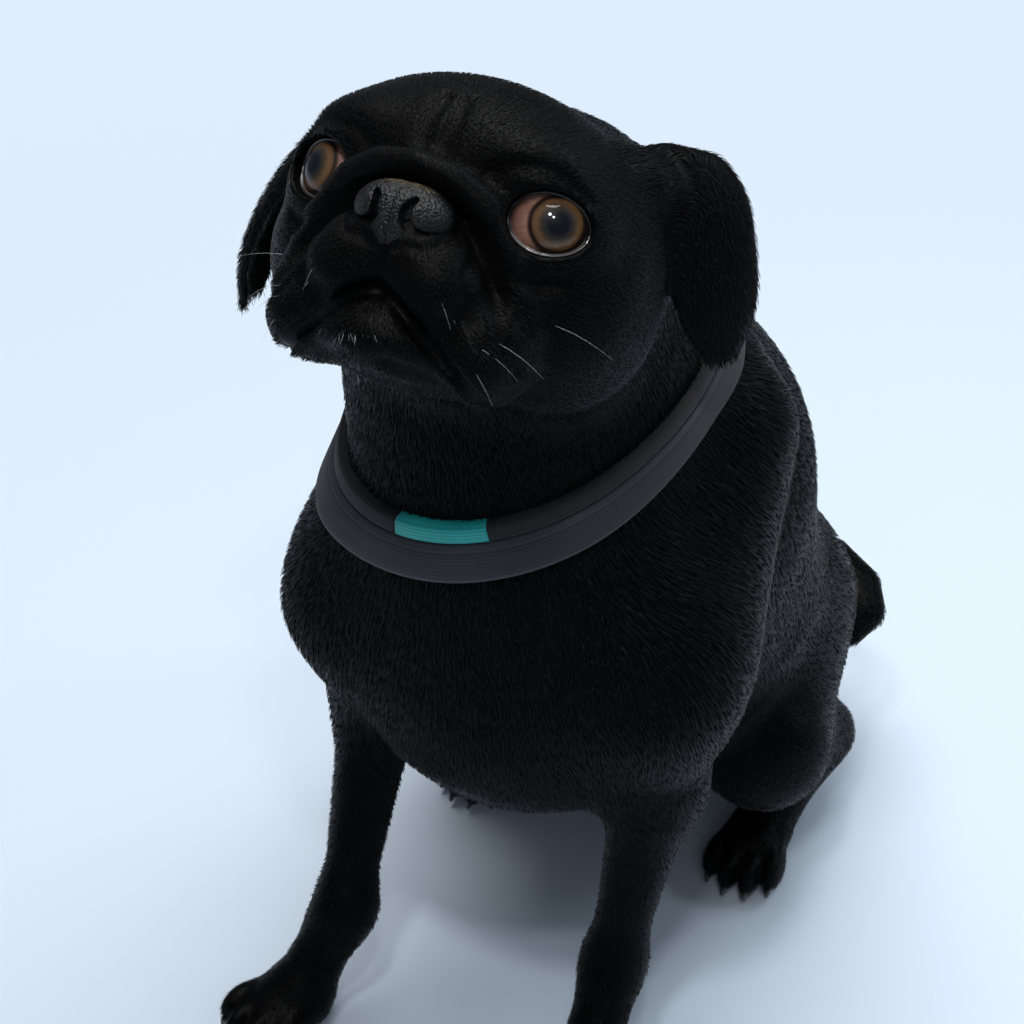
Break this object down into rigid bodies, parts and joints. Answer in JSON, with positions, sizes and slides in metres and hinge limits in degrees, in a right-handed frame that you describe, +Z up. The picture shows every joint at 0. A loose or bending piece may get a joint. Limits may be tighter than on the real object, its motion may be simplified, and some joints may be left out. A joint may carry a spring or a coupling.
{
  "type": "pug",
  "caption": "Sitting black pug with a flat wrinkled face lifted to look up, drop ears, a tail curled on the hip and a flat collar.",
  "frame": {"origin": "on the floor under the middle of the bounding box", "axes": "+Z up, -Y to where the dog's body faces, +X to the dog's left"},
  "size_m": [0.199, 0.3006, 0.3759],
  "materials": {
    "fur": "short dense black coat with a soft cool sheen",
    "nose_leather": "pebbled damp black nose leather",
    "eye": "wet glossy eyeball, amber brown iris and dark pupil",
    "collar_band": "matt dark grey woven webbing",
    "collar_strap": "matt black webbing",
    "collar_clip": "plain teal sleeve on the strap"
  },
  "bodies": {
    "root": {"collar_band": "collar_band", "collar_clip": "collar_clip", "collar_strap": "collar_strap", "ear_left": "fur", "ear_right": "fur", "eye_left": "eye", "eye_right": "eye", "foreleg_left": "fur", "foreleg_right": "fur", "forepaw_left": "fur", "forepaw_right": "fur", "head": "fur", "hind_foot_left": "fur", "hind_foot_right": "fur", "neck": "fur", "nose": "nose_leather", "tail_base": "fur", "tail_tip": "fur", "thigh_left": "fur", "thigh_right": "fur", "torso": "fur"}
  },
  "joints": []
}
